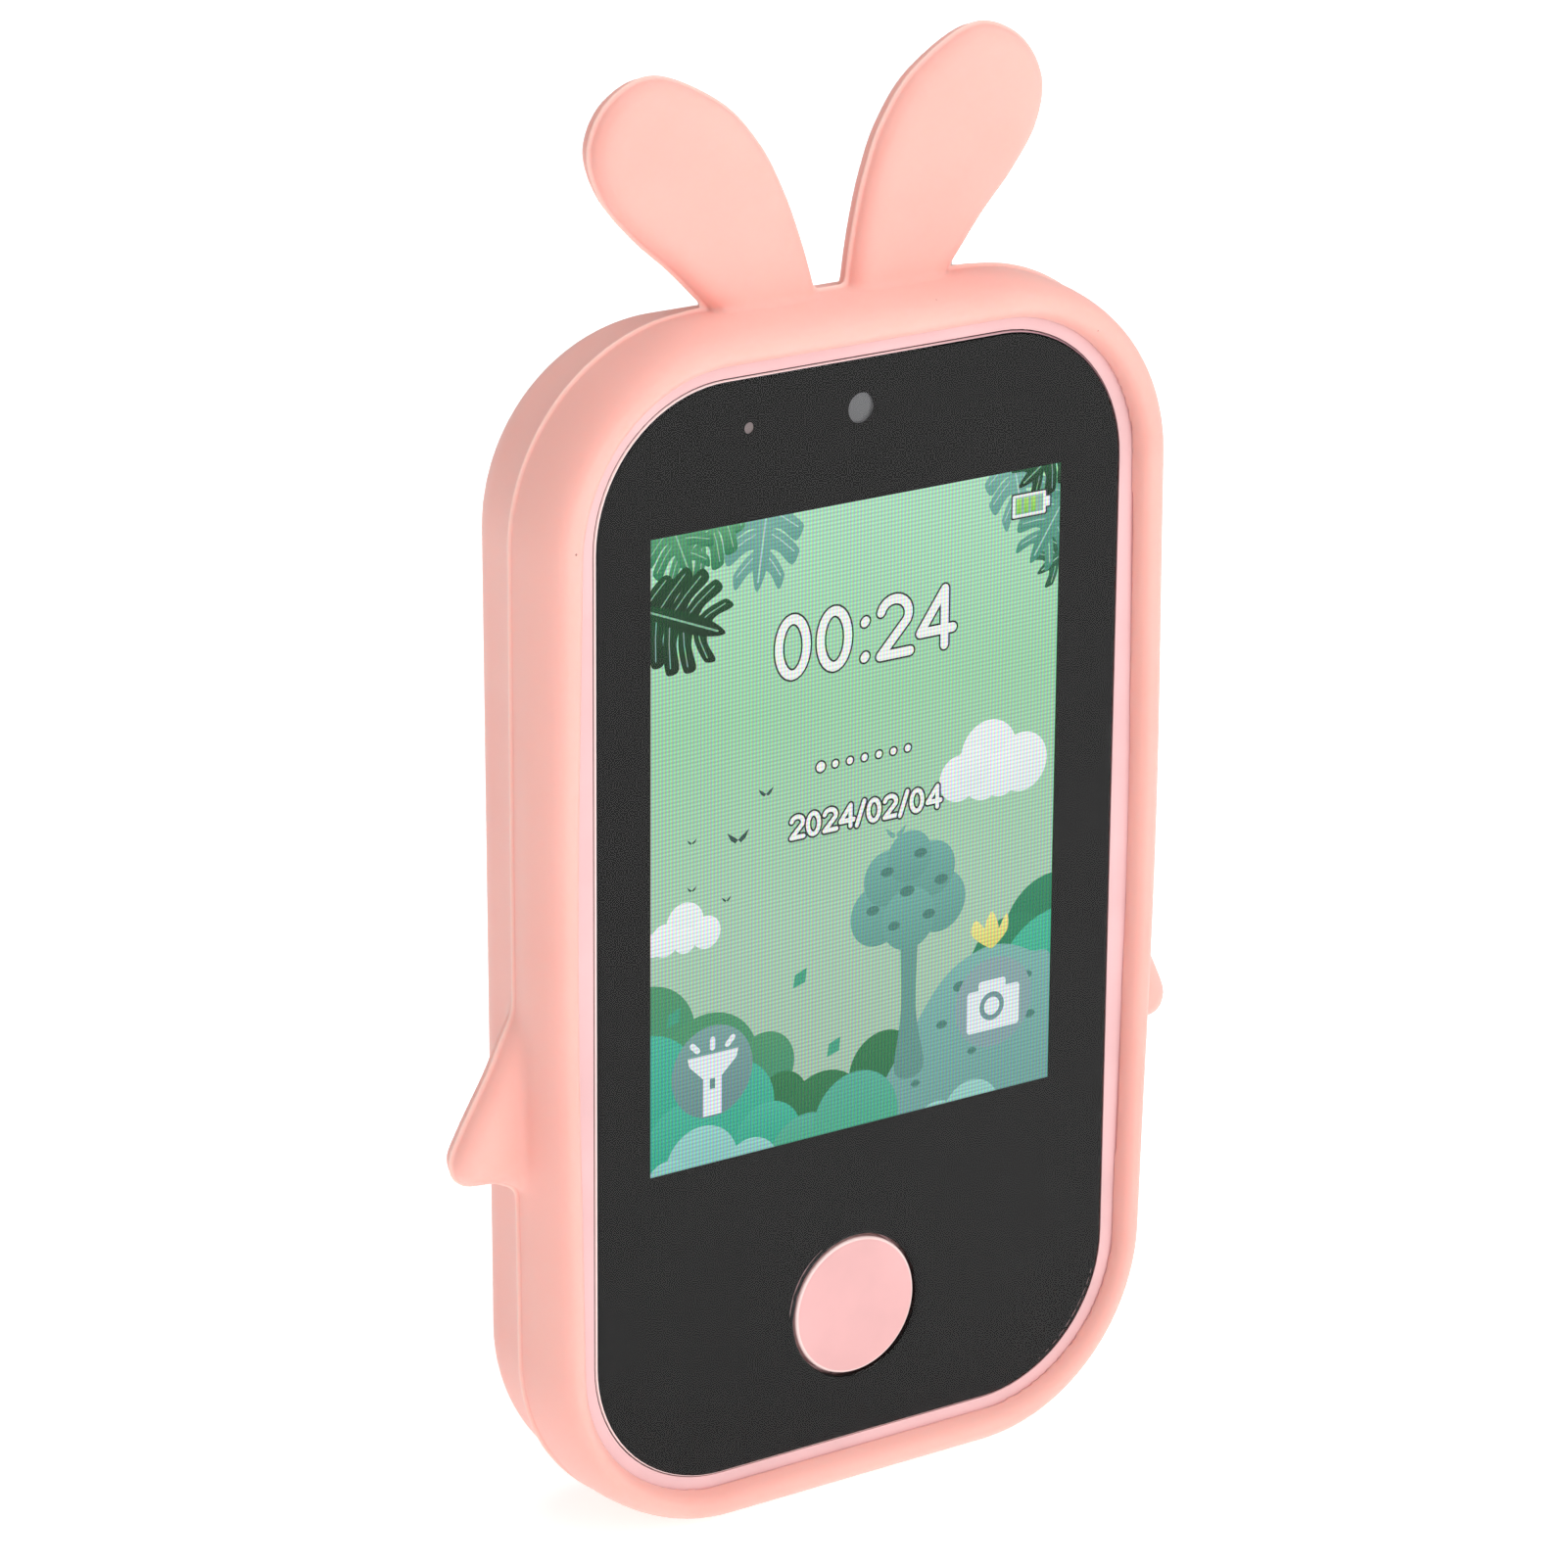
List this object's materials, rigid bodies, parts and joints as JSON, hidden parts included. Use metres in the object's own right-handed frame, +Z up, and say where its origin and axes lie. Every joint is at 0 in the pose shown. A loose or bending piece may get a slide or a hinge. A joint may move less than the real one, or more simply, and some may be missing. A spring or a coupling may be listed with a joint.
{
  "type": "toy cell phone",
  "caption": "Toy smartphone in a soft silicone sleeve with two ears and two arms, with a touch screen, a home button, side buttons and a removable memory card.",
  "frame": {"origin": "under the middle of the sleeve, on the surface that the phone stands on, halfway through its depth", "axes": "+Z up to the ears, -Y out of the screen, +X to the right as the screen is read"},
  "size_m": [0.0796, 0.016, 0.1301],
  "materials": {
    "silicone_pink": "soft matt silicone, one moulding with a fine parting ridge",
    "shell_pink": "fine satin moulded plastic",
    "lens_clear": "clear hard-coated acrylic",
    "ink_black": "black print on the lens's back",
    "tape_white": "double-sided tape",
    "touch_glass": "coated glass",
    "flex_orange": "polyimide film",
    "lcd_green": "lit liquid crystal cell with a drawn picture",
    "tin_steel": "tinned sheet steel",
    "foam_grey": "closed-cell foam",
    "camera_black": "black moulded housing",
    "lens_smoke": "coated smoky lens",
    "light_pipe_clear": "clear acrylic pin",
    "chip_white": "white ceramic chip with a yellow phosphor",
    "board_green": "solder mask over copper",
    "chip_black": "moulded epoxy",
    "battery_foil": "pouch foil",
    "socket_white": "ivory nylon",
    "wire_red": "thin wire insulation",
    "window_white": "frosted plastic window",
    "screw_steel": "plated steel",
    "button_pink": "satin moulded plastic with a fine bevel",
    "plunger_black": "nylon",
    "card_black": "plain black memory card"
  },
  "bodies": {
    "phone": {"silicone_sleeve": "silicone_pink", "front_frame": "shell_pink", "rear_cover": "shell_pink", "cover_lens": "lens_clear", "lens_mask": "ink_black", "lens_adhesive": "tape_white", "touch_sensor": "touch_glass", "touch_tail": "flex_orange", "lcd_panel": "lcd_green", "lcd_backlight": "tin_steel", "lcd_pad": "foam_grey", "lcd_ribbon": "flex_orange", "home_switch": "tin_steel", "power_switch": "tin_steel", "volume_up_switch": "tin_steel", "volume_down_switch": "tin_steel", "front_camera": "camera_black", "front_camera_lens": "lens_smoke", "light_pipe": "light_pipe_clear", "status_led": "chip_white", "main_board": "board_green", "processor": "chip_black", "memory_chip": "chip_black", "shield_can": "tin_steel", "battery": "battery_foil", "battery_tape": "tape_white", "battery_pad": "foam_grey", "battery_socket": "socket_white", "battery_lead": "wire_red", "rear_camera": "camera_black", "rear_camera_lens": "lens_smoke", "rear_camera_window": "lens_smoke", "flash_led": "chip_white", "flash_window": "window_white", "speaker": "camera_black", "speaker_gasket": "foam_grey", "microphone": "tin_steel", "usb_port": "tin_steel", "card_socket": "tin_steel", "housing_screws": "screw_steel"},
    "home_button": {"home_button": "button_pink", "home_plunger": "plunger_black"},
    "power_button": {"power_button": "button_pink", "power_plunger": "plunger_black"},
    "volume_up_button": {"volume_up_button": "button_pink", "volume_up_plunger": "plunger_black"},
    "volume_down_button": {"volume_down_button": "button_pink", "volume_down_plunger": "plunger_black"},
    "memory_card": {"memory_card": "card_black"}
  },
  "joints": [
    {"name": "home_press", "type": "slide", "parent": "phone", "child": "home_button", "axis": [0, 1, 0], "range_m": [0, 0.00045], "stiffness_N_per_m": 3000},
    {"name": "power_press", "type": "slide", "parent": "phone", "child": "power_button", "axis": [-1, 0, 0], "range_m": [0, 0.0004], "stiffness_N_per_m": 4000},
    {"name": "volume_up_press", "type": "slide", "parent": "phone", "child": "volume_up_button", "axis": [-1, 0, 0], "range_m": [0, 0.0004], "stiffness_N_per_m": 4000},
    {"name": "volume_down_press", "type": "slide", "parent": "phone", "child": "volume_down_button", "axis": [-1, 0, 0], "range_m": [0, 0.0004], "stiffness_N_per_m": 4000},
    {"name": "card_slide", "type": "slide", "parent": "phone", "child": "memory_card", "axis": [1, 0, 0], "range_m": [0, 0.0135]}
  ]
}
